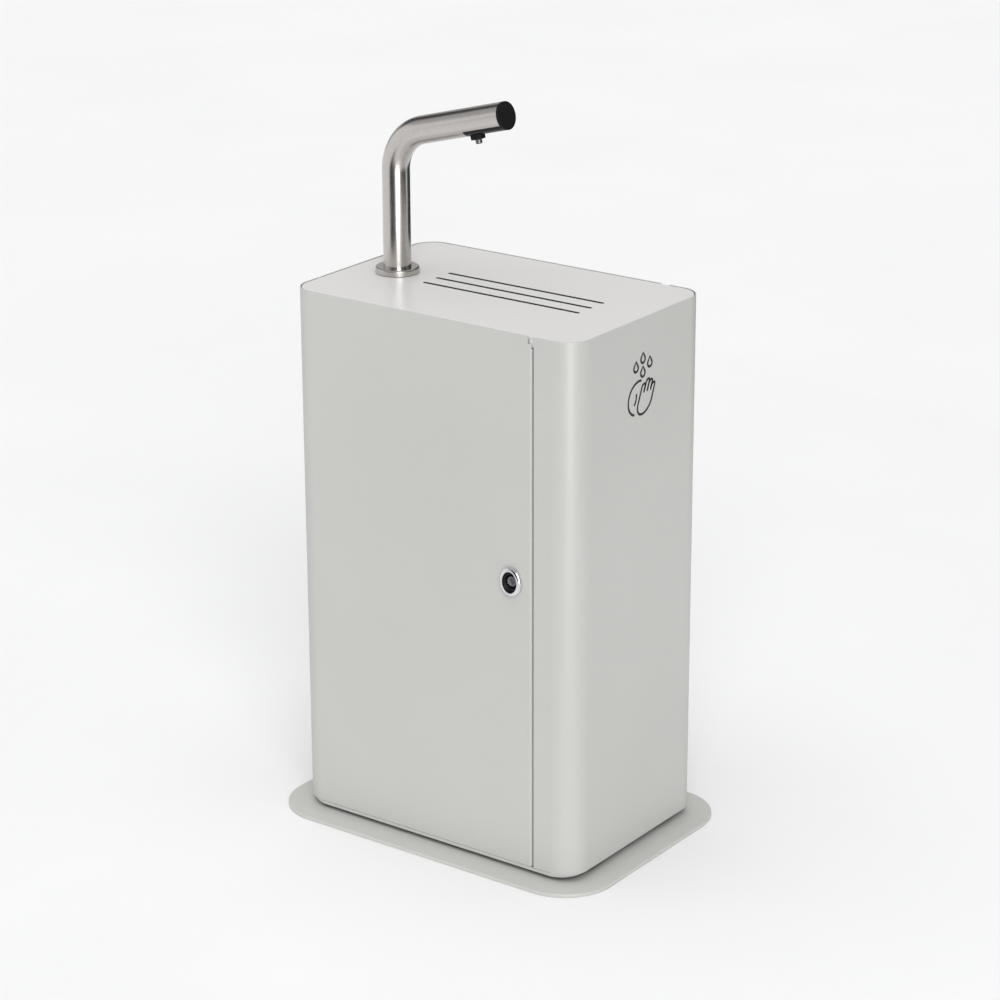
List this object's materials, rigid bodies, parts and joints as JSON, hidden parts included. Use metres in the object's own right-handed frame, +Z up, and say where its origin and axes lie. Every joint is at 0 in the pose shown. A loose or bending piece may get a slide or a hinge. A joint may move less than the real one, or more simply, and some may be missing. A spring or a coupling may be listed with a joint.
{
  "type": "portable handwash sink",
  "caption": "Free-standing sheet-steel handwash cabinet with a rising sensor tap, slotted drip top, wrap-round lockable door and canisters inside.",
  "frame": {"origin": "centre of the base plate's underside, on the floor", "axes": "+Z up, the door faces -Y, and the long side of the cabinet runs along X with the tap at -X and the spout pointing to +X"},
  "size_m": [0.6, 0.425, 1.1387],
  "materials": {
    "body_paint": "satin powder coat, light warm grey",
    "top_paint": "semi-gloss powder coat, near white",
    "base_paint": "satin powder coat, light warm grey",
    "stainless": "fine brushed stainless steel",
    "chrome": "polished",
    "black_plastic": "fine matt",
    "gloss_black": "gloss",
    "black_rubber": "matt",
    "zinc_steel": "zinc plated",
    "dark_steel": "dark satin",
    "tank_plastic": "natural polyethylene",
    "tank_grey": "moulded polyethylene",
    "cap_blue": "moulded",
    "brass": "plain",
    "clear_hose": "translucent hose"
  },
  "bodies": {
    "cabinet": {"base_bolts": "zinc_steel", "base_nuts": "zinc_steel", "base_plate": "base_paint", "basin_seal": "black_rubber", "battery": "tank_grey", "battery_lid": "black_plastic", "battery_terminals": "brass", "bottom_tray": "body_paint", "cabinet_shell": "body_paint", "control_box": "tank_grey", "control_cover": "tank_grey", "delivery_hose": "clear_hose", "door_bumpers": "black_rubber", "door_jamb": "body_paint", "drain_basin": "stainless", "drain_hose": "black_plastic", "drain_spigot": "black_plastic", "drain_strainer": "stainless", "equipment_shelf": "zinc_steel", "frame_rivets": "zinc_steel", "fresh_cap": "cap_blue", "fresh_tank": "tank_plastic", "header_rail": "body_paint", "hinge_frame_leaf_lower": "body_paint", "hinge_frame_leaf_upper": "body_paint", "hinge_pins": "zinc_steel", "hinge_post": "body_paint", "lock_keeper": "zinc_steel", "nozzle_block": "black_plastic", "pump_foot": "black_plastic", "pump_grommets": "black_rubber", "pump_head": "black_plastic", "pump_motor": "dark_steel", "sensor_panel": "gloss_black", "shell_brackets": "zinc_steel", "spacer_bars": "dark_steel", "suction_hose": "clear_hose", "suction_lance": "tank_grey", "tap_end_cap": "black_plastic", "tap_flange": "stainless", "tap_gasket": "black_rubber", "tap_nozzle": "dark_steel", "tap_nut": "zinc_steel", "tap_shank": "stainless", "tap_tube": "stainless", "tap_washer": "zinc_steel", "top_plate": "top_paint", "waste_cap": "black_plastic", "waste_tank": "tank_grey"},
    "door": {"door_panel": "body_paint", "door_stiffener": "body_paint", "hinge_door_leaf_lower": "body_paint", "hinge_door_leaf_upper": "body_paint", "door_rivets": "zinc_steel", "lock_bezel": "chrome", "lock_cup": "black_plastic", "lock_nut": "zinc_steel"},
    "lock_spindle": {"lock_plug": "dark_steel", "lock_cam": "zinc_steel", "cam_screw": "zinc_steel"}
  },
  "joints": [
    {"name": "door_hinge", "type": "hinge", "parent": "cabinet", "child": "door", "pos_m": [-0.2643, -0.1, 0.4], "axis": [0, 0, -1], "range_deg": [0, 110]},
    {"name": "lock_turn", "type": "hinge", "parent": "door", "child": "lock_spindle", "pos_m": [0.1497, -0.1705, 0.4705], "axis": [0, 1, 0], "range_deg": [0, 90]}
  ]
}
